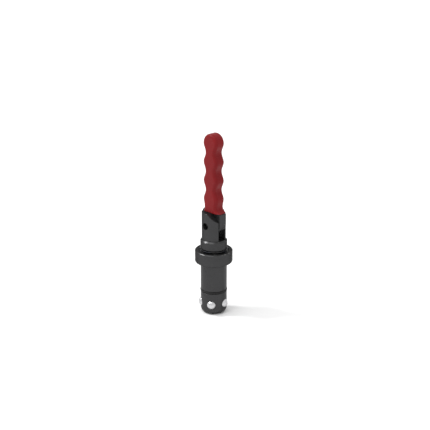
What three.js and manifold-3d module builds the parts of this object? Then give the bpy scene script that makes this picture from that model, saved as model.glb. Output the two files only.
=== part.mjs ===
// Lever-operated ball-lock clamping pin, in millimetres.
// The axis of the shank is Z and its tip stands on z = 0. The lever stands up at rest and swings about Y, down
// towards +X. Its cam then pushes the spindle down, and the cone on the spindle lets the locking balls in.

import * as THREE from 'three';
import { mergeVertices } from 'three/addons/utils/BufferGeometryUtils.js';
import Module from 'manifold-3d';

const wasm = await Module();
wasm.setup();

// ---- driving dimensions -------------------------------------------------------------------------------------

const GAP = 0.3; // clearance between pieces that meet
const ROUND = 40; // facets of a large round piece
const SMALL_ROUND = 24; // facets of a small round piece

const SHANK_R = 14;
const TIP_ROUNDING = 5.1;
const SHOULDER_Z = 58; // top of the full-diameter shank, where the flange rests
const SLEEVE_R = 12; // the thinner sleeve above the shoulder, inside the flange
const SLEEVE_TOP_Z = 72.6;
const BALL_BORE_R = 7.8;
const SPRING_SEAT_Z = 34;
const SEAT_WEB = 4;
const SPRING_BORE_R = 8;
const SPRING_BORE_TOP_Z = 60;

const PLUG_HEIGHT = 3;
const PLUG_SLOT_WIDTH = 2.4;
const PLUG_SLOT_DEPTH = 1.5;

const BALL_R = 5;
const BALL_COUNT = 5;
const BALL_Z = 11.3;
const BALL_OUT_R = 11.4; // distance of a locked ball's centre from the axis
const FIRST_BALL_DEGREES = 87; // where the first ball stands around the axis, from +X
const BALL_FREE = 0.15; // play of a ball in its pocket

const RING_Z = 25.45;
const RING_SECTION_R = 1.2;
const RING_OUTER_R = 14.4;
const GROOVE_WIDTH = 2.8;

const FLANGE_R = 20;
const FLANGE_BOTTOM_Z = 57;
const FLANGE_TOP_Z = 70.6;
const FLANGE_RELIEF_R = 14.3;
const FLANGE_WELL_R = 15.7; // the well in the top, which holds the disc springs
const FLANGE_WELL_Z = 62.6;

const DISC_COUNT = 6;
const DISC_OUTER_R = 15;
const DISC_THICKNESS = 0.6;
const DISC_CONE = 0.7;

const COLLAR_R = 14.2;
const COLLAR_CHAMFER = 1.6;

const HEAD_R = 12.7;
const HEAD_BOTTOM_Z = 83.3;
const HEAD_TOP_Z = 113;
const HEAD_CHAMFER = 0.6;
const STEM_R = 10;
const STEM_BOTTOM_Z = 62;
const SLOT_WIDTH = 9.4;
const SLOT_FLOOR_Z = 83.1;

const PIVOT_Z = 99.1;
const PIN_R = 3.5;
const PIN_HALF = 8.7; // the pin's ends lie sunk in their holes
const PIN_HOLE_R = 3.75;

const TANG_THICKNESS = SLOT_WIDTH - 2 * GAP;
const TANG_BACK_X = -12.5;
const TANG_HEEL_RISE = 6.5;
const TANG_TOP_Z = 116.8;
const TANG_BACK_SHOULDER_R = 6;
const TANG_FRONT_TOP_Z = 113.1; // the tang is lower in front of the blade, under the grip's foot
const TANG_FRONT_SHOULDER_R = 1.2;
const CAM_START = 8.85; // reach of the cam below the pivot with the lever up
const CAM_LIFT = 5; // what the cam adds to its reach as the lever goes down
const CAM_STEPS = 12;
const BLADE_WIDTH = 10;
const BLADE_THICKNESS = 5;
const BLADE_TOP_Z = 184.3;

const GRIP_BASE_Z = 113.4; // the grip's foot stands on both sides of the tang
const FOOT_BACK = 9.5; // how far the foot reaches to each side of the axis
const FOOT_FRONT = 13.6;
const FOOT_FLARE = 2.6; // power by which the foot spreads towards its base
const GRIP_THICKNESS = 13.4;
const GRIP_EDGE_R = 3.4;
const LOBE_HALF = 10;
const NECK_HALF = 7.05;
const LOBE_PITCH = 20;
const LOBE_COUNT = 4;
const FIRST_LOBE_Z = 127;
const LOW_NECK_Z = 119.1;
const LOW_NECK_HALF = 8.7;
const GRIP_TOP_Z = 197.2;

const ROD_R = 3.7;
const BUTTON_TOP_Z = PIVOT_Z - CAM_START - GAP;
const CONE_BOTTOM_Z = PLUG_HEIGHT + CAM_LIFT + 0.4;
const CONE_SLOPE = 0.48; // what the cone loses in radius for each millimetre of height
const CLIP_Z = 60.5;
const CLIP_THICKNESS = 1.2;
const CLIP_GROOVE_DEPTH = 0.5;
const CLIP_OUTER_R = 6;
const CLIP_OPENING = 5;

const WASHER_Z = 59.3;
const WASHER_THICKNESS = 0.9;
const WASHER_OUTER_R = 7.6;

const SPRING_COIL_R = 6.2;
const SPRING_WIRE_R = 0.9;
const SPRING_TURNS = 7;

// ---- materials ----------------------------------------------------------------------------------------------

const FINISHES = {
  blackSteel: { color: 0x303032, roughness: 0.42, metalness: 0.85 },
  brightSteel: { color: 0xd6d8da, roughness: 0.16, metalness: 1 },
  plainSteel: { color: 0x8d9094, roughness: 0.35, metalness: 1 },
  redPlastic: { color: 0x9c1f22, roughness: 0.48, metalness: 0 },
  blackRubber: { color: 0x141414, roughness: 0.7, metalness: 0 },
};

// ---- helpers ------------------------------------------------------------------------------------------------

// A closed surface as a solid that can be added to, cut and intersected.
function solidOf(geometry) {
  const bare = geometry.clone();
  bare.deleteAttribute('normal');
  bare.deleteAttribute('uv');
  const merged = mergeVertices(bare, 1e-5);
  const corners = [];
  for (let i = 0; i < merged.index.count; i += 3) {
    const [a, b, c] = [0, 1, 2].map((k) => merged.index.getX(i + k));
    if (a !== b && b !== c && c !== a) {
      corners.push(a, b, c);
    }
  }
  const vertProperties = new Float32Array(merged.attributes.position.array);
  return new wasm.Manifold(new wasm.Mesh({ numProp: 3, vertProperties, triVerts: new Uint32Array(corners) }));
}

function geometryOf(solid) {
  const surface = solid.getMesh();
  const geometry = new THREE.BufferGeometry();
  geometry.setAttribute('position', new THREE.BufferAttribute(surface.vertProperties, 3));
  geometry.setIndex(new THREE.BufferAttribute(surface.triVerts, 1));
  geometry.computeVertexNormals();
  return geometry;
}

function named(name, geometry, finish) {
  const mesh = new THREE.Mesh(geometry, new THREE.MeshStandardMaterial(finish));
  mesh.name = name;
  return mesh;
}

// A turned piece about Z. The outline is a loop of [radius, height] corners, anticlockwise.
function turned(outline, facets = ROUND) {
  const loop = [...outline, outline[0]].map(([r, z]) => new THREE.Vector2(r, z));
  return new THREE.LatheGeometry(loop, facets).rotateX(Math.PI / 2);
}

// A plate with its outline in X and Z, and its thickness along Y about y = 0.
function plate(outline, thickness) {
  const shape = new THREE.Shape(outline.map(([x, z]) => new THREE.Vector2(x, z)));
  const geometry = new THREE.ExtrudeGeometry(shape, { depth: thickness, bevelEnabled: false });
  return geometry.translate(0, 0, -thickness / 2).rotateX(Math.PI / 2);
}

function box(sizes, centre) {
  return new THREE.BoxGeometry(...sizes).translate(...centre);
}

// A cylinder along Y, through the lever's pivot.
function acrossPivot(radius, length) {
  return new THREE.CylinderGeometry(radius, radius, length, SMALL_ROUND).translate(0, 0, PIVOT_Z);
}

function arc(centre, radius, fromDegrees, toDegrees, steps) {
  const points = [];
  for (let i = 0; i <= steps; i += 1) {
    const angle = THREE.MathUtils.degToRad(fromDegrees + ((toDegrees - fromDegrees) * i) / steps);
    points.push([centre[0] + radius * Math.cos(angle), centre[1] + radius * Math.sin(angle)]);
  }
  return points;
}

// ---- shank and locking parts --------------------------------------------------------------------------------

function ballAngle(index) {
  return THREE.MathUtils.degToRad(FIRST_BALL_DEGREES - (360 * index) / BALL_COUNT);
}

// The pocket is straight from the bore to the ball's centre and round beyond it, so its mouth keeps the ball in.
function ballPocket(index) {
  const radius = BALL_R + BALL_FREE;
  const length = BALL_OUT_R - BALL_BORE_R / 2;
  const barrel = new THREE.CylinderGeometry(radius, radius, length, SMALL_ROUND).rotateZ(Math.PI / 2);
  barrel.translate(BALL_OUT_R - length / 2, 0, 0);
  const mouth = new THREE.SphereGeometry(radius, SMALL_ROUND, SMALL_ROUND / 2).rotateZ(Math.PI / 2);
  mouth.translate(BALL_OUT_R, 0, 0);
  const place = (geometry) => solidOf(geometry.rotateZ(ballAngle(index)).translate(0, 0, BALL_Z));
  return place(barrel).add(place(mouth));
}

function shankBody() {
  const grooveR = RING_OUTER_R - 2 * RING_SECTION_R - GAP;
  const grooveLow = RING_Z - GROOVE_WIDTH / 2;
  const grooveHigh = RING_Z + GROOVE_WIDTH / 2;
  const tipFlatR = SHANK_R - TIP_ROUNDING;
  let body = solidOf(turned([
    [BALL_BORE_R, 0],
    ...arc([tipFlatR, TIP_ROUNDING], TIP_ROUNDING, -90, 0, 5),
    [SHANK_R, grooveLow],
    [grooveR, grooveLow],
    [grooveR, grooveHigh],
    [SHANK_R, grooveHigh],
    [SHANK_R, SHOULDER_Z],
    [SLEEVE_R, SHOULDER_Z],
    [SLEEVE_R, SLEEVE_TOP_Z],
    [STEM_R + GAP, SLEEVE_TOP_Z],
    [STEM_R + GAP, SPRING_BORE_TOP_Z],
    [SPRING_BORE_R, SPRING_BORE_TOP_Z],
    [SPRING_BORE_R, SPRING_SEAT_Z],
    [ROD_R + GAP, SPRING_SEAT_Z],
    [ROD_R + GAP, SPRING_SEAT_Z - SEAT_WEB],
    [BALL_BORE_R, SPRING_SEAT_Z - SEAT_WEB],
  ]));
  for (let index = 0; index < BALL_COUNT; index += 1) {
    body = body.subtract(ballPocket(index));
  }
  return named('shank_body', geometryOf(body), FINISHES.blackSteel);
}

function endPlug() {
  const radius = BALL_BORE_R - GAP;
  const disc = solidOf(turned([[0, 0], [radius, 0], [radius, PLUG_HEIGHT], [0, PLUG_HEIGHT]]));
  const slot = solidOf(box([3 * radius, PLUG_SLOT_WIDTH, 2 * PLUG_SLOT_DEPTH], [0, 0, 0]));
  return named('end_plug', geometryOf(disc.subtract(slot)), FINISHES.blackSteel);
}

function lockingBall(index) {
  const ball = named(`ball_${index + 1}`, new THREE.IcosahedronGeometry(BALL_R, 3), FINISHES.brightSteel);
  const angle = ballAngle(index);
  ball.position.set(BALL_OUT_R * Math.cos(angle), BALL_OUT_R * Math.sin(angle), BALL_Z);
  return ball;
}

function ringSeal() {
  const ring = new THREE.TorusGeometry(RING_OUTER_R - RING_SECTION_R, RING_SECTION_R, 10, ROUND);
  const mesh = named('shank_o_ring', ring, FINISHES.blackRubber);
  mesh.position.z = RING_Z;
  return mesh;
}

// ---- flange, disc springs and lock collar -------------------------------------------------------------------

function clampFlange() {
  const reliefZ = SHOULDER_Z + GAP;
  const edge = 2;
  const rim = 0.7;
  return named('clamp_flange', turned([
    [FLANGE_RELIEF_R, FLANGE_BOTTOM_Z],
    [FLANGE_R - edge, FLANGE_BOTTOM_Z],
    [FLANGE_R, FLANGE_BOTTOM_Z + edge],
    [FLANGE_R, FLANGE_TOP_Z - rim],
    [FLANGE_R - rim, FLANGE_TOP_Z],
    [FLANGE_WELL_R, FLANGE_TOP_Z],
    [FLANGE_WELL_R, FLANGE_WELL_Z],
    [SLEEVE_R + GAP, FLANGE_WELL_Z],
    [SLEEVE_R + GAP, reliefZ],
    [FLANGE_RELIEF_R, reliefZ],
  ]), FINISHES.blackSteel);
}

// The cones point up and down in turn, so the stack works as springs in series.
function discSpring(index) {
  const lowest = FLANGE_WELL_Z + GAP;
  const pitch = (SLEEVE_TOP_Z - lowest) / DISC_COUNT;
  const inner = SLEEVE_R + GAP;
  const [innerRise, outerRise] = index % 2 === 0 ? [DISC_CONE, 0] : [0, DISC_CONE];
  const disc = named(`disc_spring_${index + 1}`, turned([
    [inner, innerRise],
    [DISC_OUTER_R, outerRise],
    [DISC_OUTER_R, outerRise + DISC_THICKNESS],
    [inner, innerRise + DISC_THICKNESS],
  ], SMALL_ROUND + 8), FINISHES.plainSteel);
  disc.position.z = lowest + index * pitch;
  return disc;
}

function lockCollar() {
  const bottom = SLEEVE_TOP_Z + GAP;
  const top = HEAD_BOTTOM_Z - GAP;
  const edge = 0.5;
  return named('lock_collar', turned([
    [STEM_R + GAP, bottom],
    [COLLAR_R - edge, bottom],
    [COLLAR_R, bottom + edge],
    [COLLAR_R, top - COLLAR_CHAMFER],
    [COLLAR_R - COLLAR_CHAMFER, top],
    [STEM_R + GAP, top],
  ]), FINISHES.blackSteel);
}

// ---- forked head and pivot ----------------------------------------------------------------------------------

// What is cut off the top of both cheeks on the side that the lever swings down to, seen along Y.
function cheekRelief() {
  const outline = [
    [2.3, 20],
    [2.3, HEAD_TOP_Z - PIVOT_Z],
    [8.2, 8],
    ...arc([7.4, 3.2], 5.35, 60, 0, 4),
    [20, 3.2],
    [20, 20],
  ];
  return plate(outline, 4 * HEAD_R).translate(0, 0, PIVOT_Z);
}

function clevisHead() {
  const turnedHead = solidOf(turned([
    [ROD_R + GAP, STEM_BOTTOM_Z],
    [STEM_R, STEM_BOTTOM_Z],
    [STEM_R, HEAD_BOTTOM_Z],
    [HEAD_R, HEAD_BOTTOM_Z],
    [HEAD_R, HEAD_TOP_Z - HEAD_CHAMFER],
    [HEAD_R - HEAD_CHAMFER, HEAD_TOP_Z],
    [ROD_R + GAP, HEAD_TOP_Z],
  ]));
  const slotHeight = 2 * (HEAD_TOP_Z - SLOT_FLOOR_Z);
  const slot = solidOf(box([4 * HEAD_R, SLOT_WIDTH, slotHeight], [0, 0, SLOT_FLOOR_Z + slotHeight / 2]));
  const pinHole = solidOf(acrossPivot(PIN_HOLE_R, 4 * HEAD_R));
  const head = turnedHead.subtract(slot).subtract(pinHole).subtract(solidOf(cheekRelief()));
  return named('clevis_head', geometryOf(head), FINISHES.blackSteel);
}

function pivotPin() {
  return named('pivot_pin', acrossPivot(PIN_R, 2 * PIN_HALF), FINISHES.blackSteel);
}

// ---- lever --------------------------------------------------------------------------------------------------

// The cam's reach grows in proportion to the lever's angle, and this is the curve that its tangents draw.
function camCurve() {
  const reachPerRadian = CAM_LIFT / (Math.PI / 2);
  const points = [];
  for (let step = 0; step <= CAM_STEPS; step += 1) {
    const angle = ((Math.PI / 2) * step) / CAM_STEPS;
    const reach = CAM_START + reachPerRadian * angle;
    points.push([
      reach * Math.sin(angle) + reachPerRadian * Math.cos(angle),
      -reach * Math.cos(angle) + reachPerRadian * Math.sin(angle),
    ]);
  }
  return points;
}

function camLever() {
  const backTop = TANG_TOP_Z - PIVOT_Z;
  const frontTop = TANG_FRONT_TOP_Z - PIVOT_Z;
  const noseX = CAM_START + CAM_LIFT;
  const backCentre = [TANG_BACK_X + TANG_BACK_SHOULDER_R, backTop - TANG_BACK_SHOULDER_R];
  const frontCentre = [noseX - TANG_FRONT_SHOULDER_R, frontTop - TANG_FRONT_SHOULDER_R];
  const tangOutline = [
    ...arc(backCentre, TANG_BACK_SHOULDER_R, 90, 180, 6),
    [TANG_BACK_X, TANG_HEEL_RISE - CAM_START],
    [-4, -CAM_START],
    ...camCurve(),
    ...arc(frontCentre, TANG_FRONT_SHOULDER_R, 0, 90, 4),
    [BLADE_WIDTH / 2, frontTop],
    [BLADE_WIDTH / 2, backTop],
  ];
  const tang = solidOf(plate(tangOutline, TANG_THICKNESS).translate(0, 0, PIVOT_Z));
  const bladeHeight = BLADE_TOP_Z - PIVOT_Z - PIN_R - 2;
  const blade = solidOf(box([BLADE_WIDTH, BLADE_THICKNESS, bladeHeight], [0, 0, BLADE_TOP_Z - bladeHeight / 2]));
  const bore = solidOf(acrossPivot(PIN_R + GAP, 2 * TANG_THICKNESS));
  return named('cam_lever', geometryOf(tang.add(blade).subtract(bore)), FINISHES.blackSteel);
}

// How far the grip reaches to one side at a height: a spread foot, then finger lobes, then a round end.
function gripReach(z, foot) {
  const wave = (from, to, share) => from + ((to - from) * (1 - Math.cos(Math.PI * share))) / 2;
  const lastLobeZ = FIRST_LOBE_Z + (LOBE_COUNT - 1) * LOBE_PITCH;
  if (z < LOW_NECK_Z) {
    const share = (LOW_NECK_Z - z) / (LOW_NECK_Z - GRIP_BASE_Z);
    return LOW_NECK_HALF + (foot - LOW_NECK_HALF) * share ** FOOT_FLARE;
  }
  if (z < FIRST_LOBE_Z) {
    return wave(LOW_NECK_HALF, LOBE_HALF, (z - LOW_NECK_Z) / (FIRST_LOBE_Z - LOW_NECK_Z));
  }
  if (z < lastLobeZ) {
    return wave(LOBE_HALF, NECK_HALF, (2 * (z - FIRST_LOBE_Z)) / LOBE_PITCH);
  }
  const share = (z - lastLobeZ) / (GRIP_TOP_Z - lastLobeZ);
  return LOBE_HALF * Math.sqrt(Math.max(0, 1 - share * share));
}

function gripSide(foot) {
  const lastLobeZ = FIRST_LOBE_Z + (LOBE_COUNT - 1) * LOBE_PITCH;
  const side = [[foot, GRIP_BASE_Z - 2 * GRIP_EDGE_R]];
  for (let z = GRIP_BASE_Z; z < LOW_NECK_Z; z += 1) {
    side.push([gripReach(z, foot), z]);
  }
  for (let z = LOW_NECK_Z + 1; z < lastLobeZ; z += LOBE_PITCH / 10) {
    side.push([gripReach(z, foot), z]);
  }
  for (let degrees = 0; degrees < 90; degrees += 10) {
    const share = Math.sin(THREE.MathUtils.degToRad(degrees));
    const z = lastLobeZ + (GRIP_TOP_Z - lastLobeZ) * share;
    side.push([gripReach(z, foot), z]);
  }
  return side;
}

function gripOutline() {
  const back = gripSide(FOOT_BACK).map(([x, z]) => [-x, z]).reverse();
  return [...gripSide(FOOT_FRONT), [0, GRIP_TOP_Z], ...back];
}

function leverGrip() {
  const outline = gripOutline().map(([x, z]) => new THREE.Vector2(x, z));
  const geometry = new THREE.ExtrudeGeometry(new THREE.Shape(outline), {
    depth: GRIP_THICKNESS - 2 * GRIP_EDGE_R,
    bevelEnabled: true,
    bevelThickness: GRIP_EDGE_R,
    bevelSize: GRIP_EDGE_R,
    bevelOffset: -GRIP_EDGE_R,
    bevelSegments: 3,
  });
  geometry.translate(0, 0, GRIP_EDGE_R - GRIP_THICKNESS / 2).rotateX(Math.PI / 2);
  const belowBase = solidOf(box([60, 60, 60], [0, 0, GRIP_BASE_Z - 30]));
  const pocketTop = BLADE_TOP_Z + GAP;
  const pocket = solidOf(box(
    [BLADE_WIDTH + 2 * GAP, BLADE_THICKNESS + 2 * GAP, 2 * (pocketTop - GRIP_BASE_Z)],
    [0, 0, GRIP_BASE_Z],
  ));
  const slotLength = 30;
  const tangSlot = solidOf(box(
    [slotLength, TANG_THICKNESS + 2 * GAP, 2 * (TANG_TOP_Z + GAP - GRIP_BASE_Z)],
    [BLADE_WIDTH / 2 + GAP - slotLength / 2, 0, GRIP_BASE_Z],
  ));
  const grip = solidOf(geometry).subtract(belowBase).subtract(pocket).subtract(tangSlot);
  return named('lever_grip', geometryOf(grip), FINISHES.redPlastic);
}

// ---- release spindle and its spring -------------------------------------------------------------------------

// Radius of the cone at a height, so that it stands GAP clear of the locked balls.
function coneRadius(z) {
  const slant = Math.hypot(1, CONE_SLOPE);
  const touchR = BALL_OUT_R - BALL_R / slant - GAP * slant;
  const touchZ = BALL_Z - (BALL_R * CONE_SLOPE) / slant;
  return touchR - CONE_SLOPE * (z - touchZ);
}

function releaseSpindle() {
  const coneTopZ = CONE_BOTTOM_Z + (coneRadius(CONE_BOTTOM_Z) - ROD_R) / CONE_SLOPE;
  const grooveR = ROD_R - CLIP_GROOVE_DEPTH;
  const edge = 0.4;
  return named('release_spindle', turned([
    [0, CONE_BOTTOM_Z],
    [coneRadius(CONE_BOTTOM_Z), CONE_BOTTOM_Z],
    [ROD_R, coneTopZ],
    [ROD_R, CLIP_Z - 0.1],
    [grooveR, CLIP_Z - 0.1],
    [grooveR, CLIP_Z + CLIP_THICKNESS + 0.1],
    [ROD_R, CLIP_Z + CLIP_THICKNESS + 0.1],
    [ROD_R, BUTTON_TOP_Z - edge],
    [ROD_R - edge, BUTTON_TOP_Z],
    [0, BUTTON_TOP_Z],
  ], SMALL_ROUND), FINISHES.plainSteel);
}

function springWasher() {
  const inner = ROD_R + GAP;
  const washer = named('spring_washer', turned([
    [inner, 0],
    [WASHER_OUTER_R, 0],
    [WASHER_OUTER_R, WASHER_THICKNESS],
    [inner, WASHER_THICKNESS],
  ], SMALL_ROUND), FINISHES.plainSteel);
  washer.position.z = WASHER_Z;
  return washer;
}

function spindleCirclip() {
  const inner = ROD_R - CLIP_GROOVE_DEPTH + GAP;
  const ring = solidOf(turned([
    [inner, 0],
    [CLIP_OUTER_R, 0],
    [CLIP_OUTER_R, CLIP_THICKNESS],
    [inner, CLIP_THICKNESS],
  ], SMALL_ROUND));
  const opening = solidOf(box([2 * CLIP_OUTER_R, CLIP_OPENING, 4 * CLIP_THICKNESS], [-CLIP_OUTER_R, 0, 0]));
  const clip = named('spindle_circlip', geometryOf(ring.subtract(opening)), FINISHES.plainSteel);
  clip.position.z = CLIP_Z;
  return clip;
}

class HelixCurve extends THREE.Curve {
  constructor(radius, turns, height) {
    super();
    this.radius = radius;
    this.turns = turns;
    this.height = height;
  }

  getPoint(share, target = new THREE.Vector3()) {
    const angle = 2 * Math.PI * this.turns * share;
    return target.set(this.radius * Math.cos(angle), this.radius * Math.sin(angle), this.height * share);
  }
}

function returnSpring() {
  const low = SPRING_SEAT_Z + GAP + SPRING_WIRE_R;
  const high = WASHER_Z - GAP - SPRING_WIRE_R;
  const section = new THREE.Shape().absarc(0, 0, SPRING_WIRE_R, 0, 2 * Math.PI);
  const geometry = new THREE.ExtrudeGeometry(section, {
    curveSegments: 4,
    steps: 14 * SPRING_TURNS,
    extrudePath: new HelixCurve(SPRING_COIL_R, SPRING_TURNS, high - low),
  });
  const spring = named('return_spring', geometry, FINISHES.plainSteel);
  spring.position.z = low;
  return spring;
}

// ---- assembly -----------------------------------------------------------------------------------------------

const group = new THREE.Group();
group.add(shankBody(), endPlug(), ringSeal());
for (let index = 0; index < BALL_COUNT; index += 1) {
  group.add(lockingBall(index));
}
group.add(clampFlange());
for (let index = 0; index < DISC_COUNT; index += 1) {
  group.add(discSpring(index));
}
group.add(lockCollar(), clevisHead(), pivotPin());
group.add(camLever(), leverGrip());
group.add(releaseSpindle(), springWasher(), spindleCirclip(), returnSpring());

export default group;
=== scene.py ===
"""Looks of a lever-operated ball-lock clamping pin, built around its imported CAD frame.

Outlines are in millimetres in the row's frame: the shank stands up along Z with its tip on z = 0, the lever's
pivot lies along Y, and the lever swings down towards +X. Meshes are made in metres.
"""

import math

import bmesh
import bpy
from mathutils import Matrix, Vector


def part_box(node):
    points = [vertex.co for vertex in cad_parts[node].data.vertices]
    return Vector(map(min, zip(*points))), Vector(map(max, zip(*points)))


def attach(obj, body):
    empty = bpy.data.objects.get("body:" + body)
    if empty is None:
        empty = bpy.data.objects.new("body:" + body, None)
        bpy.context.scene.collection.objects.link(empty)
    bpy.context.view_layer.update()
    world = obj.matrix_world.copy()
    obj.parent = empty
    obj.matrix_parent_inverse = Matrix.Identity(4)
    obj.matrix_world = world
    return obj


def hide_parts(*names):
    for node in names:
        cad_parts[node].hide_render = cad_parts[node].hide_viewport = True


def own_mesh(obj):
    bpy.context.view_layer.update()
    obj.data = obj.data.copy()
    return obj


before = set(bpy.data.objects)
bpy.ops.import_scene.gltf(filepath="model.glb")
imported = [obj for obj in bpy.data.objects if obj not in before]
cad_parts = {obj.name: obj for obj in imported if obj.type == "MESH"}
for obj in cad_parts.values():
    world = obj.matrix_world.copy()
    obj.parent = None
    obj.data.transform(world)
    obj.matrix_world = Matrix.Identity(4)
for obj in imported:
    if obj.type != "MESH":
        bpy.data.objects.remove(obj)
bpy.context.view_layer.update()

MM = 0.001
FULL_TURN = 2 * math.pi


# ---- camera --------------------------------------------------------------------------------------------

VIEW_AZIMUTH = math.radians(45)
VIEW_ELEVATION = math.radians(19.5)
VIEW_DISTANCE = 1.1
VIEW_LENS = 88
AIM_HEIGHT = 0.1088
AIM_RIGHT = 0.0013

ACROSS = Vector((math.cos(VIEW_AZIMUTH), math.sin(VIEW_AZIMUTH), 0))
TOWARDS = Vector((math.sin(VIEW_AZIMUTH), -math.cos(VIEW_AZIMUTH), 0))
UP = Vector((0, 0, 1))


def add_camera():
    data = bpy.data.cameras.new("camera")
    data.lens = VIEW_LENS
    camera = bpy.data.objects.new("camera", data)
    bpy.context.scene.collection.objects.link(camera)
    back = TOWARDS * math.cos(VIEW_ELEVATION) + UP * math.sin(VIEW_ELEVATION)
    camera.location = UP * AIM_HEIGHT + ACROSS * AIM_RIGHT + back * VIEW_DISTANCE
    camera.rotation_euler = (-back).to_track_quat("-Z", "Y").to_euler()
    bpy.context.scene.camera = camera


add_camera()


# ---- sizes, in millimetres -----------------------------------------------------------------------------


def top(node):
    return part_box(node)[1].z / MM


def bottom(node):
    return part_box(node)[0].z / MM


def half_x(node):
    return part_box(node)[1].x / MM


GAP = 0.3
FACETS = 144
SMALL_FACETS = 96
PIN_FACETS = 72
HOLE_FACETS = 64
POCKET_FACETS = 56

SHANK_R = half_x("shank_body")
SLEEVE_TOP_Z = top("shank_body")
SHOULDER_Z = 58
SLEEVE_R = 12
BALL_BORE_R = 7.8
TIP_ROUNDING = 5.1
SPRING_SEAT_Z = 34
SEAT_WEB = 4
SPRING_BORE_R = 8
SPRING_BORE_TOP_Z = 60

PLUG_SLOT_WIDTH = 2.4
PLUG_SLOT_DEPTH = 1.5

BALL_R = 5
BALL_COUNT = 5
BALL_Z = (top("ball_1") + bottom("ball_1")) / 2
BALL_OUT_R = 11.4
FIRST_BALL_DEGREES = 87
BALL_FREE = 0.15

RING_Z = (top("shank_o_ring") + bottom("shank_o_ring")) / 2
RING_OUTER_R = half_x("shank_o_ring")
RING_SECTION_R = 1.2
GROOVE_WIDTH = 2.8

FLANGE_R = half_x("clamp_flange")
FLANGE_TOP_Z = top("clamp_flange")
FLANGE_BOTTOM_Z = bottom("clamp_flange")
FLANGE_RELIEF_R = 14.3
FLANGE_WELL_R = 15.7
FLANGE_WELL_Z = 62.6
RIM_CHAMFER = 0.7

DISC_COUNT = 6
DISC_OUTER_R = 15
DISC_THICKNESS = 0.6

COLLAR_R = half_x("lock_collar")
COLLAR_CHAMFER = 1.6

HEAD_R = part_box("clevis_head")[1].y / MM
HEAD_TOP_Z = top("clevis_head")
HEAD_BOTTOM_Z = top("lock_collar") + GAP
STEM_R = 10
STEM_BOTTOM_Z = bottom("clevis_head")
SLOT_FLOOR_Z = 83.1
RELIEF_START_X = 2.3
RELIEF_SHOULDER = (8.2, 8.1)
RELIEF_FOOT = (12.75, 3.4)

TANG_THICKNESS = (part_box("cam_lever")[1].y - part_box("cam_lever")[0].y) / MM
SLOT_WIDTH = TANG_THICKNESS + 2 * GAP
PIVOT_Z = (top("pivot_pin") + bottom("pivot_pin")) / 2
PIN_R = half_x("pivot_pin")
PIN_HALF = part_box("pivot_pin")[1].y / MM
PIN_HOLE_R = 3.75

ROD_R = 3.7
CONE_SLOPE = 0.48
BUTTON_TOP_Z = top("release_spindle")
SPINDLE_TRAVEL = 5
CLIP_GROOVE_DEPTH = 0.5
CLIP_PLAY = 0.1
CLIP_OPENING = 5
CLIP_CUT_HEIGHT = 10

WIRE_R = 0.9
COIL_R = 6.2
COIL_TURNS = 7
WIRE_SIDES = 16
STEPS_PER_TURN = 40


# ---- mesh helpers --------------------------------------------------------------------------------------


def rounded(corners, steps=4):
    """A closed outline through corners of (x, y, radius). Each corner that has a radius becomes an arc."""
    points = []
    count = len(corners)
    for i, (x, y, radius) in enumerate(corners):
        corner = Vector((x, y))
        if not radius:
            points.append((x, y))
            continue
        back = (Vector(corners[i - 1][:2]) - corner).normalized()
        ahead = (Vector(corners[(i + 1) % count][:2]) - corner).normalized()
        half = back.angle(ahead) / 2
        centre = corner + (back + ahead).normalized() * (radius / math.sin(half))
        start = corner + back * (radius / math.tan(half)) - centre
        end = corner + ahead * (radius / math.tan(half)) - centre
        turn = math.atan2(start.x * end.y - start.y * end.x, start.dot(end))
        first = math.atan2(start.y, start.x)
        for step in range(steps + 1):
            angle = first + turn * step / steps
            points.append((centre.x + radius * math.cos(angle), centre.y + radius * math.sin(angle)))
    return points


def revolve(outline, facets=FACETS):
    """Corners and faces of a turned solid about Z, from a closed outline of (radius, height)."""
    verts, rings, faces = [], [], []
    for radius, z in outline:
        count = 1 if radius < 1e-6 else facets
        rings.append([len(verts) + i for i in range(count)])
        for i in range(count):
            angle = FULL_TURN * i / facets
            verts.append((radius * math.cos(angle), radius * math.sin(angle), z))
    for low, high in zip(rings, rings[1:] + rings[:1]):
        if len(low) == len(high) == 1:
            continue
        for i in range(facets):
            j = (i + 1) % facets
            quad = [low[i % len(low)], low[j % len(low)], high[j % len(high)], high[i % len(high)]]
            faces.append(list(dict.fromkeys(quad)))
    return verts, faces


def slab(outline, thickness, edge, steps=4):
    """Corners and faces of a round-edged plate. Its closed outline is in X and Z and its thickness along Y."""
    points = [Vector(p) for p in outline]
    count = len(points)
    area = sum(points[i - 1].cross(points[i]) for i in range(count))
    side = 1 if area > 0 else -1
    normals = []
    for i in range(count):
        before = (points[i] - points[i - 1]).normalized()
        after = (points[(i + 1) % count] - points[i]).normalized()
        along = (before + after).normalized()
        spread = max(0.5, along.dot(after))
        normals.append(Vector((along.y, -along.x)) * side / spread)
    layers = []
    for step in range(steps + 1):
        angle = math.pi / 2 * step / steps
        layers.append((thickness / 2 - edge + edge * math.sin(angle), edge * (1 - math.cos(angle))))
    layers = [(-y, inset) for y, inset in reversed(layers)] + layers
    verts, faces = [], []
    for y, inset in layers:
        for point, normal in zip(points, normals):
            inner = point - normal * inset
            verts.append((inner.x, y, inner.y))
    for layer in range(len(layers) - 1):
        for i in range(count):
            j = (i + 1) % count
            a, b = layer * count + i, layer * count + j
            faces.append([a, b, b + count, a + count])
    last = (len(layers) - 1) * count
    faces.append(list(range(count)))
    faces.append(list(range(last, last + count)))
    return verts, faces


def block(sizes, centre):
    """Corners and faces of a box, for cutting."""
    sx, sy, sz = (s / 2 for s in sizes)
    outline = [(centre[0] - sx, centre[2] - sz), (centre[0] + sx, centre[2] - sz),
               (centre[0] + sx, centre[2] + sz), (centre[0] - sx, centre[2] + sz)]
    verts = [(x, centre[1] + y, z) for y in (-sy, sy) for x, z in outline]
    faces = [[0, 1, 2, 3], [4, 5, 6, 7]] + [[i, (i + 1) % 4, (i + 1) % 4 + 4, i + 4] for i in range(4)]
    return verts, faces


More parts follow.
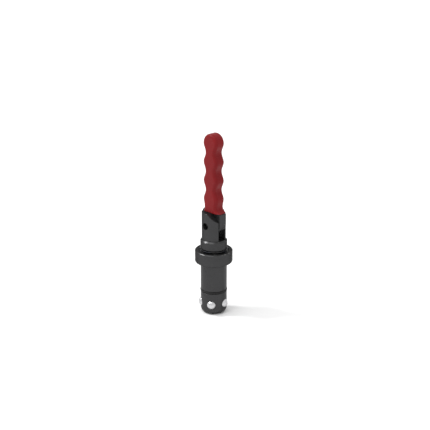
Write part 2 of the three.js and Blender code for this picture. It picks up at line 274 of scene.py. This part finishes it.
def moved(solid, turn=0.0, lift=0.0):
    """The solid turned about Z and then lifted."""
    verts, faces = solid
    c, s = math.cos(turn), math.sin(turn)
    return [(x * c - y * s, x * s + y * c, z + lift) for x, y, z in verts], faces


def laid_along_y(solid):
    """The turned solid with its axis laid from Z to Y, through the lever's pivot."""
    verts, faces = solid
    return [(x, z, PIVOT_Z - y) for x, y, z in verts], faces


def mesh_object(name, solid):
    verts, faces = solid
    mesh = bpy.data.meshes.new(name)
    mesh.from_pydata([tuple(c * MM for c in v) for v in verts], [], faces)
    tidy = bmesh.new()
    tidy.from_mesh(mesh)
    bmesh.ops.recalc_face_normals(tidy, faces=tidy.faces)
    tidy.to_mesh(mesh)
    tidy.free()
    piece = bpy.data.objects.new(name, mesh)
    bpy.context.scene.collection.objects.link(piece)
    return piece


def combine(piece, solid, operation):
    """Adds the solid to the piece or cuts it away, for good."""
    other = mesh_object("cutter", solid)
    step = piece.modifiers.new("combine", "BOOLEAN")
    step.operation = operation
    step.solver = "EXACT"
    step.object = other
    bake(piece)
    bpy.data.objects.remove(other)


def bake(piece):
    """Puts the result of the piece's modifiers into its mesh."""
    whole = piece.evaluated_get(bpy.context.evaluated_depsgraph_get())
    mesh = bpy.data.meshes.new_from_object(whole)
    piece.modifiers.clear()
    piece.data = mesh
    piece.data.name = piece.name


def soften(piece, width, angle=35):
    """Rounds the sharp edges that cutting has left."""
    step = piece.modifiers.new("soften", "BEVEL")
    step.width = width * MM
    step.segments = 3
    step.limit_method = "ANGLE"
    step.angle_limit = math.radians(angle)
    step.harden_normals = False
    bake(piece)


def smooth_shading(piece, angle=32):
    shape = bmesh.new()
    shape.from_mesh(piece.data)
    for face in shape.faces:
        face.smooth = True
    for edge in shape.edges:
        edge.smooth = len(edge.link_faces) == 2 and edge.calc_face_angle(0) < math.radians(angle)
    shape.to_mesh(piece.data)
    shape.free()
    step = piece.modifiers.new("even normals", "WEIGHTED_NORMAL")
    step.keep_sharp = True


def place(piece, material, body, node):
    """Gives a finished piece its material, its moving body and the CAD node that it stands for."""
    smooth_shading(piece)
    piece.data.materials.clear()
    piece.data.materials.append(material)
    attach(piece, body)
    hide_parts(node)
    return piece


# ---- materials -----------------------------------------------------------------------------------------


class Finish:
    """A material's node tree, with one short call for each kind of node that the finishes use."""

    def __init__(self, name, constants):
        self.material = bpy.data.materials.new(name)
        self.material.use_nodes = True
        self.nodes = self.material.node_tree.nodes
        self.links = self.material.node_tree.links
        self.shader = self.nodes["Principled BSDF"]
        for socket, value in constants.items():
            self.shader.inputs[socket].default_value = value
        self.position = self.nodes.new("ShaderNodeTexCoord").outputs["Object"]

    def feed(self, socket, value):
        if isinstance(value, bpy.types.NodeSocket):
            self.links.new(value, socket)
        else:
            socket.default_value = value

    def stretched(self, scale):
        """Position times a scale for each axis, so that noise read there is drawn out along the smallest."""
        node = self.nodes.new("ShaderNodeVectorMath")
        node.operation = "MULTIPLY"
        self.feed(node.inputs[0], self.position)
        node.inputs[1].default_value = scale
        return node.outputs[0]

    def around_z(self, scale):
        """Distance from the Z axis and height, so that noise read there runs in rings like a lathe's marks."""
        apart = self.nodes.new("ShaderNodeSeparateXYZ")
        self.feed(apart.inputs[0], self.position)
        radius = self.math("SQRT", self.math("ADD", self.math("MULTIPLY", apart.outputs[0], apart.outputs[0]),
                                             self.math("MULTIPLY", apart.outputs[1], apart.outputs[1])))
        joined = self.nodes.new("ShaderNodeCombineXYZ")
        self.feed(joined.inputs[0], self.math("MULTIPLY", radius, scale))
        self.feed(joined.inputs[2], self.math("MULTIPLY", apart.outputs[2], scale))
        return joined.outputs[0]

    def math(self, operation, a, b=0.0):
        node = self.nodes.new("ShaderNodeMath")
        node.operation = operation
        self.feed(node.inputs[0], a)
        self.feed(node.inputs[1], b)
        return node.outputs[0]

    def noise(self, scale, detail=3.0, at=None):
        """Noise from 0 to 1, with its coarsest grain one over scale metres across."""
        node = self.nodes.new("ShaderNodeTexNoise")
        node.inputs["Scale"].default_value = scale
        node.inputs["Detail"].default_value = detail
        self.feed(node.inputs["Vector"], self.position if at is None else at)
        return node.outputs["Fac"]

    def span(self, value, low, high, start=0.0, end=1.0):
        """Maps a value from low..high to start..end, and no further."""
        node = self.nodes.new("ShaderNodeMapRange")
        for socket, number in zip(node.inputs, (value, low, high, start, end)):
            self.feed(socket, number)
        return node.outputs[0]

    def blend(self, share, first, second):
        node = self.nodes.new("ShaderNodeMix")
        node.data_type = "RGBA"
        self.feed(node.inputs[0], share)
        self.feed(node.inputs[6], first)
        self.feed(node.inputs[7], second)
        return node.outputs[2]

    def worn_and_highlit_edges(self, spread):
        """1 where an outer edge is lightened, partly as rubbed wear and partly as a painted highlight, broken
        up by noise.
        """
        breakup = 900
        geometry = self.nodes.new("ShaderNodeNewGeometry")
        edge = self.span(geometry.outputs["Pointiness"], 0.5 + spread, 0.5 + 3 * spread)
        return self.math("MULTIPLY", edge, self.span(self.noise(breakup), 0.42, 0.62))

    def bump(self, height, depth, below=None):
        node = self.nodes.new("ShaderNodeBump")
        node.inputs["Distance"].default_value = depth
        self.feed(node.inputs["Height"], height)
        if below is not None:
            self.feed(node.inputs["Normal"], below)
        return node.outputs[0]

    def set(self, colour=None, roughness=None, normal=None):
        for socket, value in (("Base Color", colour), ("Roughness", roughness), ("Normal", normal)):
            if value is not None:
                self.feed(self.shader.inputs[socket], value)
        return self.material


def black_steel(name, marks, wear_and_sheen, glance):
    """Satin black oxide. marks is "turned" for lathe rings, "milled" for a straight grain.

    The third argument lightens the outer edges, partly as rubbed wear and partly as a painted highlight;
    glance is how much of a low light it throws back.
    """
    tint = (glance, glance, glance, 1)
    f = Finish(name, {"Metallic": 0.75, "Specular IOR Level": 0.3, "Specular Tint": tint})
    patches = f.span(f.noise(55, 4), 0.35, 0.7)
    speckle = f.span(f.noise(2600, 2), 0.3, 0.75)
    tone = f.blend(patches, (0.041, 0.041, 0.042, 1), (0.047, 0.047, 0.048, 1))
    tone = f.blend(f.math("MULTIPLY", speckle, 0.2), tone, (0.070, 0.070, 0.072, 1))
    # Lightened outer edges: partly rubbed wear, partly a painted highlight on the rims.
    if wear_and_sheen:
        tone = f.blend(f.math("MULTIPLY", f.worn_and_highlit_edges(0.02), wear_and_sheen), tone, (0.22, 0.215, 0.21, 1))
    where = f.around_z(1.0) if marks == "turned" else f.stretched((0.05, 1.0, 1.0))
    grain = f.noise(3800, 3, where)
    roughness = f.math("ADD", f.span(patches, 0, 1, 0.27, 0.32), f.span(grain, 0.3, 0.7, -0.04, 0.04))
    fine = f.bump(f.noise(5200, 2), 0.000004)
    return f.set(tone, roughness, f.bump(grain, 0.000008, fine))


def polished_steel():
    """Lapped bearing ball, with faint tracks where it has rolled."""
    f = Finish("polished steel", {"Metallic": 1.0})
    tone = f.blend(f.span(f.noise(700, 4), 0.35, 0.7), (0.60, 0.60, 0.61, 1), (0.51, 0.51, 0.52, 1))
    tracks = f.noise(3000, 2, f.stretched((0.2, 0.2, 1.4)))
    roughness = f.span(tracks, 0.35, 0.7, 0.24, 0.34)
    return f.set(tone, roughness, f.bump(tracks, 0.000002))


def ground_steel():
    """Centreless-ground bright steel, with fine rings and a little staining."""
    f = Finish("ground steel", {"Metallic": 0.9})
    stain = f.span(f.noise(180, 4), 0.4, 0.7)
    tone = f.blend(stain, (0.33, 0.33, 0.34, 1), (0.24, 0.235, 0.23, 1))
    rings = f.noise(4500, 2, f.around_z(1.0))
    roughness = f.math("ADD", f.span(stain, 0, 1, 0.26, 0.36), f.span(rings, 0.3, 0.7, -0.05, 0.05))
    return f.set(tone, roughness, f.bump(rings, 0.000005))


def spring_steel():
    """Drawn and tempered wire or strip, blued a little by the heat."""
    f = Finish("spring steel", {"Metallic": 0.9})
    blue = f.span(f.noise(240, 3), 0.35, 0.7)
    tone = f.blend(blue, (0.070, 0.068, 0.066, 1), (0.040, 0.045, 0.058, 1))
    drawn = f.noise(3000, 3)
    roughness = f.span(drawn, 0.3, 0.7, 0.30, 0.44)
    return f.set(tone, roughness, f.bump(drawn, 0.000006))


def black_rubber():
    """Moulded nitrile, matt, with a trace of dust."""
    f = Finish("black rubber", {"Specular IOR Level": 0.25})
    dust = f.span(f.noise(900, 4), 0.45, 0.75)
    tone = f.blend(f.math("MULTIPLY", dust, 0.3), (0.008, 0.008, 0.008, 1), (0.030, 0.029, 0.028, 1))
    pores = f.noise(4200, 3)
    roughness = f.span(pores, 0.3, 0.7, 0.55, 0.72)
    return f.set(tone, roughness, f.bump(pores, 0.00001))


def red_plastic():
    """Satin moulded plastic with an eroded-mould grain, smoother in some patches than in others."""
    f = Finish("red plastic", {"Specular IOR Level": 0.08})
    cloud = f.span(f.noise(45, 4), 0.35, 0.7)
    fleck = f.span(f.noise(2200, 2), 0.35, 0.75)
    tone = f.blend(cloud, (0.155, 0.0090, 0.0110, 1), (0.180, 0.0105, 0.0125, 1))
    tone = f.blend(f.math("MULTIPLY", fleck, 0.3), tone, (0.21, 0.017, 0.019, 1))
    grain = f.noise(3000, 4)
    roughness = f.math("ADD", f.span(cloud, 0, 1, 0.32, 0.38), f.span(grain, 0.3, 0.7, -0.05, 0.05))
    return f.set(tone, roughness, f.bump(grain, 0.00002))


GROUND_BLACK = black_steel("ground black steel", "turned", 0.0, 0.6)
TURNED_BLACK = black_steel("turned black steel", "turned", 0.0, 0.25)
# Flange and collar: outer edges lightened as rubbed wear and as a painted rim highlight.
RUBBED_AND_HIGHLIT_BLACK = black_steel("rubbed and highlit black steel", "turned", 0.6, 0.25)
MILLED_BLACK = black_steel("milled black steel", "milled", 0.0, 0.25)
POLISHED = polished_steel()
GROUND = ground_steel()
SPRING = spring_steel()
RUBBER = black_rubber()
RED = red_plastic()


# ---- shank and locking parts ---------------------------------------------------------------------------


def ball_angle(index):
    return math.radians(FIRST_BALL_DEGREES) - FULL_TURN * index / BALL_COUNT


def ball_pocket(index):
    """Straight from the bore to the ball's centre, then round, so that its mouth keeps the ball in."""
    radius = BALL_R + BALL_FREE
    start = BALL_BORE_R / 2
    steps = 12
    angles = [math.pi / 2 * i / steps for i in range(steps)]
    arc = [(radius * math.cos(angle), radius * math.sin(angle)) for angle in angles]
    outline = [(0, start), (radius, start)]
    outline += [(r, BALL_OUT_R + h) for r, h in arc]
    outline += [(0, BALL_OUT_R + radius)]
    verts, faces = revolve(outline, POCKET_FACETS)
    return moved(([(z, y, -x) for x, y, z in verts], faces), ball_angle(index), BALL_Z)


def shank_body():
    groove_r = RING_OUTER_R - 2 * RING_SECTION_R - GAP
    low, high = RING_Z - GROOVE_WIDTH / 2, RING_Z + GROOVE_WIDTH / 2
    piece = mesh_object("shank", revolve(rounded([
        (BALL_BORE_R, 0, 0.3),
        (SHANK_R, 0, TIP_ROUNDING),
        (SHANK_R, low, 0.25),
        (groove_r, low, 0.2),
        (groove_r, high, 0.2),
        (SHANK_R, high, 0.25),
        (SHANK_R, SHOULDER_Z, 0.4),
        (SLEEVE_R, SHOULDER_Z, 0),
        (SLEEVE_R, SLEEVE_TOP_Z, 0.3),
        (STEM_R + GAP, SLEEVE_TOP_Z, 0.3),
        (STEM_R + GAP, SPRING_BORE_TOP_Z, 0),
        (SPRING_BORE_R, SPRING_BORE_TOP_Z, 0.3),
        (SPRING_BORE_R, SPRING_SEAT_Z, 0),
        (ROD_R + GAP, SPRING_SEAT_Z, 0.3),
        (ROD_R + GAP, SPRING_SEAT_Z - SEAT_WEB, 0.3),
        (BALL_BORE_R, SPRING_SEAT_Z - SEAT_WEB, 0),
    ], 5)))
    for index in range(BALL_COUNT):
        combine(piece, ball_pocket(index), "DIFFERENCE")
    soften(piece, 0.15)
    place(piece, GROUND_BLACK, "shank", "shank_body")


def end_plug():
    radius = half_x("end_plug")
    height = top("end_plug")
    piece = mesh_object("tip_plug", revolve(rounded([
        (0, 0, 0), (radius, 0, 0.3), (radius, height, 0.3), (0, height, 0)])))
    combine(piece, block((3 * radius, PLUG_SLOT_WIDTH, 2 * PLUG_SLOT_DEPTH), (0, 0, 0)), "DIFFERENCE")
    soften(piece, 0.12)
    place(piece, TURNED_BLACK, "shank", "end_plug")


def locking_ball(index):
    shape = bmesh.new()
    bmesh.ops.create_icosphere(shape, subdivisions=5, radius=BALL_R * MM)
    mesh = bpy.data.meshes.new(f"locking_ball_{index + 1}")
    shape.to_mesh(mesh)
    shape.free()
    angle = ball_angle(index)
    centre = Vector((BALL_OUT_R * math.cos(angle), BALL_OUT_R * math.sin(angle), BALL_Z)) * MM
    for vertex in mesh.vertices:
        vertex.co += centre
    piece = bpy.data.objects.new(mesh.name, mesh)
    bpy.context.scene.collection.objects.link(piece)
    place(piece, POLISHED, f"ball_{index + 1}", f"ball_{index + 1}")


def ring_seal():
    centre_r = RING_OUTER_R - RING_SECTION_R
    section = [(centre_r + RING_SECTION_R * math.cos(FULL_TURN * i / 24),
                RING_Z + RING_SECTION_R * math.sin(FULL_TURN * i / 24)) for i in range(24)]
    piece = mesh_object("ring_seal", revolve(section))
    place(piece, RUBBER, "shank", "shank_o_ring")


# ---- flange, disc springs and lock collar --------------------------------------------------------------


def clamp_flange():
    relief_z = SHOULDER_Z + GAP
    piece = mesh_object("flange", revolve(rounded([
        (FLANGE_RELIEF_R, FLANGE_BOTTOM_Z, 0.3),
        (FLANGE_R, FLANGE_BOTTOM_Z, 1.8),
        (FLANGE_R, FLANGE_TOP_Z - RIM_CHAMFER, 0.15),
        (FLANGE_R - RIM_CHAMFER, FLANGE_TOP_Z, 0.15),
        (FLANGE_WELL_R, FLANGE_TOP_Z, 0.4),
        (FLANGE_WELL_R, FLANGE_WELL_Z, 0.3),
        (SLEEVE_R + GAP, FLANGE_WELL_Z, 0.3),
        (SLEEVE_R + GAP, relief_z, 0.3),
        (FLANGE_RELIEF_R, relief_z, 0),
    ], 6)))
    place(piece, RUBBED_AND_HIGHLIT_BLACK, "flange", "clamp_flange")


def disc_spring(index):
    """A shallow cone. The cones point up and down in turn."""
    node = f"disc_spring_{index + 1}"
    low, high = bottom(node), top(node) - DISC_THICKNESS
    inner_z, outer_z = (high, low) if index % 2 == 0 else (low, high)
    piece = mesh_object(f"cone_spring_{index + 1}", revolve(rounded([
        (SLEEVE_R + GAP, inner_z, 0.15),
        (DISC_OUTER_R, outer_z, 0.15),
        (DISC_OUTER_R, outer_z + DISC_THICKNESS, 0.15),
        (SLEEVE_R + GAP, inner_z + DISC_THICKNESS, 0.15),
    ], 3)))
    place(piece, SPRING, "shank", node)
    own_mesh(piece)


def lock_collar():
    low, high = bottom("lock_collar"), top("lock_collar")
    piece = mesh_object("collar", revolve(rounded([
        (STEM_R + GAP, low, 0.3),
        (COLLAR_R, low, 0.5),
        (COLLAR_R, high - COLLAR_CHAMFER, 0.25),
        (COLLAR_R - COLLAR_CHAMFER, high, 0.25),
        (STEM_R + GAP, high, 0.3),
    ])))
    place(piece, RUBBED_AND_HIGHLIT_BLACK, "shank", "lock_collar")


# ---- forked head and pivot -----------------------------------------------------------------------------


def cheek_relief():
    """What is cut off the top of both cheeks on the side that the lever swings down to."""
    rise = HEAD_TOP_Z - PIVOT_Z
    beyond = 20
    below = -1
    outline = rounded([
        (RELIEF_START_X, beyond, 0),
        (RELIEF_START_X, rise, 0),
        (*RELIEF_SHOULDER, 1.0),
        (*RELIEF_FOOT, 4.0),
        (RELIEF_FOOT[0], below, 0),
        (beyond, below, 0),
        (beyond, beyond, 0),
    ], 6)
    verts, faces = slab(outline, 4 * HEAD_R, 0.001, 1)
    return moved((verts, faces), lift=PIVOT_Z)


def clevis_head():
    piece = mesh_object("fork", revolve(rounded([
        (ROD_R + GAP, STEM_BOTTOM_Z, 0.3),
        (STEM_R, STEM_BOTTOM_Z, 0.5),
        (STEM_R, HEAD_BOTTOM_Z, 0),
        (HEAD_R, HEAD_BOTTOM_Z, 0.3),
        (HEAD_R, HEAD_TOP_Z, 0.6),
        (ROD_R + GAP, HEAD_TOP_Z, 0),
    ])))
    depth = 2 * (HEAD_TOP_Z - SLOT_FLOOR_Z)
    combine(piece, block((4 * HEAD_R, SLOT_WIDTH, depth), (0, 0, SLOT_FLOOR_Z + depth / 2)), "DIFFERENCE")
    hole = [(0, -2 * HEAD_R), (PIN_HOLE_R, -2 * HEAD_R), (PIN_HOLE_R, 2 * HEAD_R), (0, 2 * HEAD_R)]
    combine(piece, laid_along_y(revolve(hole, HOLE_FACETS)), "DIFFERENCE")
    combine(piece, cheek_relief(), "DIFFERENCE")
    soften(piece, 0.3)
    place(piece, TURNED_BLACK, "shank", "clevis_head")


def pivot_pin():
    piece = mesh_object("cross_pin", laid_along_y(revolve(rounded([
        (0, -PIN_HALF, 0), (PIN_R, -PIN_HALF, 0.5), (PIN_R, PIN_HALF, 0.5), (0, PIN_HALF, 0)]), PIN_FACETS)))
    place(piece, MILLED_BLACK, "shank", "pivot_pin")


# ---- lever ---------------------------------------------------------------------------------------------

CAM_START = 8.85
CAM_LIFT = SPINDLE_TRAVEL
TANG_HEEL_X = -4
TANG_HEEL_Z = -2.35
TANG_HEEL_R = 1.5
GRIP_BASE_Z = bottom("lever_grip")
GRIP_TOP_Z = top("lever_grip")
FOOT_BACK = 9.5
FOOT_FRONT = half_x("lever_grip")
FOOT_FLARE = 2.6
GRIP_THICKNESS = 2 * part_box("lever_grip")[1].y / MM
GRIP_EDGE = 3.4
BLADE_TOP_Z = top("cam_lever")
TANG_TOP_Z = 116.8
TANG_BACK_SHOULDER_R = 6
TANG_FRONT_TOP_Z = 113.1
TANG_FRONT_SHOULDER_R = 1.2
BLADE_WIDTH = 10
BLADE_THICKNESS = 5
LOBE_HALF = 10
NECK_HALF = 7.05
LOBE_PITCH = 20
LOBE_COUNT = 4
FIRST_LOBE_Z = 127
LAST_LOBE_Z = FIRST_LOBE_Z + (LOBE_COUNT - 1) * LOBE_PITCH
LOW_NECK_Z = 119.1
LOW_NECK_HALF = 8.7


def cam_curve(steps=24):
    """The curve whose reach below the pivot grows in proportion to the lever's angle."""
    rate = CAM_LIFT / (math.pi / 2)
    for step in range(steps + 1):
        angle = math.pi / 2 * step / steps
        reach = CAM_START + rate * angle
        x = reach * math.sin(angle) + rate * math.cos(angle)
        z = -reach * math.cos(angle) + rate * math.sin(angle)
        yield (x, z)


def cam_lever():
    back_top = TANG_TOP_Z - PIVOT_Z
    front_top = TANG_FRONT_TOP_Z - PIVOT_Z
    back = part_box("cam_lever")[0].x / MM
    nose = CAM_START + CAM_LIFT
    corners = [(nose, 0, 0), (nose, front_top, TANG_FRONT_SHOULDER_R), (BLADE_WIDTH / 2, front_top, 0),
               (BLADE_WIDTH / 2, back_top, 0), (back, back_top, TANG_BACK_SHOULDER_R),
               (back, TANG_HEEL_Z, TANG_HEEL_R), (TANG_HEEL_X, -CAM_START, TANG_HEEL_R), (0, -CAM_START, 0)]
    outline = rounded(corners, 8)[1:-1] + list(cam_curve())
    piece = mesh_object("lever_blade", moved(slab(outline, TANG_THICKNESS, 0.4), lift=PIVOT_Z))
    above_pin = 2
    height = BLADE_TOP_Z - PIVOT_Z - PIN_R - above_pin
    blade = block((BLADE_WIDTH, BLADE_THICKNESS, height), (0, 0, BLADE_TOP_Z - height / 2))
    combine(piece, blade, "UNION")
    bore_r = PIN_R + GAP
    reach = 2 * TANG_THICKNESS
    bore = [(0, -reach), (bore_r, -reach), (bore_r, reach), (0, reach)]
    combine(piece, laid_along_y(revolve(bore, HOLE_FACETS)), "DIFFERENCE")
    place(piece, MILLED_BLACK, "lever", "cam_lever")


def grip_reach(z, foot):
    """How far the grip reaches to one side: a spread foot, then finger lobes, then a round end."""
    def wave(start, end, share):
        return start + (end - start) * (1 - math.cos(math.pi * share)) / 2

    if z < LOW_NECK_Z:
        share = (LOW_NECK_Z - z) / (LOW_NECK_Z - GRIP_BASE_Z)
        return LOW_NECK_HALF + (foot - LOW_NECK_HALF) * share ** FOOT_FLARE
    if z < FIRST_LOBE_Z:
        return wave(LOW_NECK_HALF, LOBE_HALF, (z - LOW_NECK_Z) / (FIRST_LOBE_Z - LOW_NECK_Z))
    if z < LAST_LOBE_Z:
        return wave(LOBE_HALF, NECK_HALF, 2 * (z - FIRST_LOBE_Z) / LOBE_PITCH)
    share = (z - LAST_LOBE_Z) / (GRIP_TOP_Z - LAST_LOBE_Z)
    return LOBE_HALF * math.sqrt(max(0.0, 1 - share * share))


def grip_side(foot):
    step = 0.5
    heights = [GRIP_BASE_Z + step * i for i in range(int((LAST_LOBE_Z - GRIP_BASE_Z) / step) + 1)]
    crown = GRIP_TOP_Z - LAST_LOBE_Z
    heights += [LAST_LOBE_Z + crown * math.sin(math.radians(a)) for a in range(3, 90, 3)]
    return [(foot, GRIP_BASE_Z - 2 * GRIP_EDGE)] + [(grip_reach(z, foot), z) for z in heights]


def grip_outline():
    back = [(-x, z) for x, z in reversed(grip_side(FOOT_BACK))]
    return grip_side(FOOT_FRONT) + [(0, GRIP_TOP_Z)] + back


def lever_grip():
    piece = mesh_object("grip", slab(grip_outline(), GRIP_THICKNESS, GRIP_EDGE, 8))
    skirt = 80
    combine(piece, block((skirt, skirt, skirt), (0, 0, GRIP_BASE_Z - skirt / 2)), "DIFFERENCE")
    pocket = (BLADE_WIDTH + 2 * GAP, BLADE_THICKNESS + 2 * GAP, 2 * (BLADE_TOP_Z + GAP - GRIP_BASE_Z))
    combine(piece, block(pocket, (0, 0, GRIP_BASE_Z)), "DIFFERENCE")
    slot_length = 30
    slot = (slot_length, TANG_THICKNESS + 2 * GAP, 2 * (TANG_TOP_Z + GAP - GRIP_BASE_Z))
    slot_middle = BLADE_WIDTH / 2 + GAP - slot_length / 2
    combine(piece, block(slot, (slot_middle, 0, GRIP_BASE_Z)), "DIFFERENCE")
    place(piece, RED, "lever", "lever_grip")


# ---- release spindle and its spring --------------------------------------------------------------------


def release_spindle():
    low = bottom("release_spindle")
    cone_r = half_x("release_spindle")
    clip_low = bottom("spindle_circlip") - CLIP_PLAY
    clip_high = top("spindle_circlip") + CLIP_PLAY
    groove_r = ROD_R - CLIP_GROOVE_DEPTH
    piece = mesh_object("spindle", revolve(rounded([
        (0, low, 0),
        (cone_r, low, 0.2),
        (ROD_R, low + (cone_r - ROD_R) / CONE_SLOPE, 0),
        (ROD_R, clip_low, 0.1),
        (groove_r, clip_low, 0),
        (groove_r, clip_high, 0),
        (ROD_R, clip_high, 0.1),
        (ROD_R, BUTTON_TOP_Z, 0.4),
        (0, BUTTON_TOP_Z, 0),
    ]), SMALL_FACETS))
    place(piece, GROUND, "spindle", "release_spindle")


def spring_washer():
    low, high, outer = bottom("spring_washer"), top("spring_washer"), half_x("spring_washer")
    piece = mesh_object("washer", revolve(rounded([
        (ROD_R + GAP, low, 0.15), (outer, low, 0.15), (outer, high, 0.15), (ROD_R + GAP, high, 0.15)], 3),
                                           SMALL_FACETS))
    place(piece, GROUND, "spindle", "spring_washer")


def spindle_circlip():
    low, high, outer = bottom("spindle_circlip"), top("spindle_circlip"), half_x("spindle_circlip")
    inner = ROD_R - CLIP_GROOVE_DEPTH + GAP
    ring = [(inner, low), (outer, low), (outer, high), (inner, high)]
    piece = mesh_object("clip", revolve(ring, SMALL_FACETS))
    combine(piece, block((2 * outer, CLIP_OPENING, CLIP_CUT_HEIGHT), (-outer, 0, low)), "DIFFERENCE")
    soften(piece, 0.12)
    place(piece, SPRING, "spindle", "spindle_circlip")


def return_spring():
    """A helix of round wire, made as a tube of rings."""
    low = bottom("return_spring") + WIRE_R
    high = top("return_spring") - WIRE_R
    sides = WIRE_SIDES
    steps = COIL_TURNS * STEPS_PER_TURN
    verts, faces = [], []
    for step in range(steps + 1):
        angle = FULL_TURN * COIL_TURNS * step / steps
        z = low + (high - low) * step / steps
        out = Vector((math.cos(angle), math.sin(angle), 0))
        for side in range(sides):
            turn = FULL_TURN * side / sides
            point = out * (COIL_R + WIRE_R * math.cos(turn)) + UP * (z + WIRE_R * math.sin(turn))
            verts.append(tuple(point))
    for step in range(steps):
        for side in range(sides):
            a, b = step * sides + side, step * sides + (side + 1) % sides
            faces.append([a, b, b + sides, a + sides])
    faces.append(list(range(sides)))
    faces.append(list(range(steps * sides, (steps + 1) * sides)))
    piece = mesh_object("coil_spring", (verts, faces))
    place(piece, SPRING, "shank", "return_spring")
    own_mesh(piece)


# ---- build the object ----------------------------------------------------------------------------------

shank_body()
end_plug()
ring_seal()
for ball in range(BALL_COUNT):
    locking_ball(ball)
clamp_flange()
for disc in range(DISC_COUNT):
    disc_spring(disc)
lock_collar()
clevis_head()
pivot_pin()
cam_lever()
lever_grip()
release_spindle()
spring_washer()
spindle_circlip()
return_spring()


# ---- floor and light -----------------------------------------------------------------------------------


def floor():
    half, drop = 9000, 0.05
    corners = [(-half, -half, -drop), (half, -half, -drop), (half, half, -drop), (-half, half, -drop)]
    ground = mesh_object("floor", (corners, [[0, 1, 2, 3]]))
    f = Finish("floor", {"Specular IOR Level": 0.1, "Roughness": 0.9})
    ground.data.materials.append(f.set(f.blend(f.noise(3, 2), (0.85, 0.85, 0.85, 1), (0.87, 0.87, 0.87, 1))))


def soft_light(name, direction, distance, size, power):
    data = bpy.data.lights.new(name, "AREA")
    data.shape = "DISK"
    data.size = size
    data.energy = power
    lamp = bpy.data.objects.new(name, data)
    bpy.context.scene.collection.objects.link(lamp)
    lamp.location = UP * AIM_HEIGHT + direction.normalized() * distance
    lamp.rotation_euler = direction.to_track_quat("Z", "Y").to_euler()


def surroundings(horizon, sky):
    """White light all around, from one strength at the horizon to another overhead."""
    world = bpy.data.worlds.new("studio")
    world.use_nodes = True
    nodes, links = world.node_tree.nodes, world.node_tree.links
    back = nodes["Background"]
    back.inputs["Color"].default_value = (1, 1, 1, 1)
    direction = nodes.new("ShaderNodeTexCoord").outputs["Generated"]
    apart = nodes.new("ShaderNodeSeparateXYZ")
    ramp = nodes.new("ShaderNodeMapRange")
    links.new(direction, apart.inputs[0])
    links.new(apart.outputs[2], ramp.inputs["Value"])
    for socket, number in (("From Min", 0.1), ("From Max", 0.6), ("To Min", horizon), ("To Max", sky)):
        ramp.inputs[socket].default_value = number
    links.new(ramp.outputs[0], back.inputs["Strength"])
    bpy.context.scene.world = world


floor()
surroundings(horizon=0.90, sky=1.02)
soft_light("key", -ACROSS * 0.66 + UP * 0.74 - TOWARDS * 0.09, distance=4.8, size=1.02, power=125)
soft_light("top", -ACROSS * 0.22 + UP * 0.95 + TOWARDS * 0.22, distance=4.8, size=2.4, power=45)
bpy.context.scene.view_settings.view_transform = "Standard"
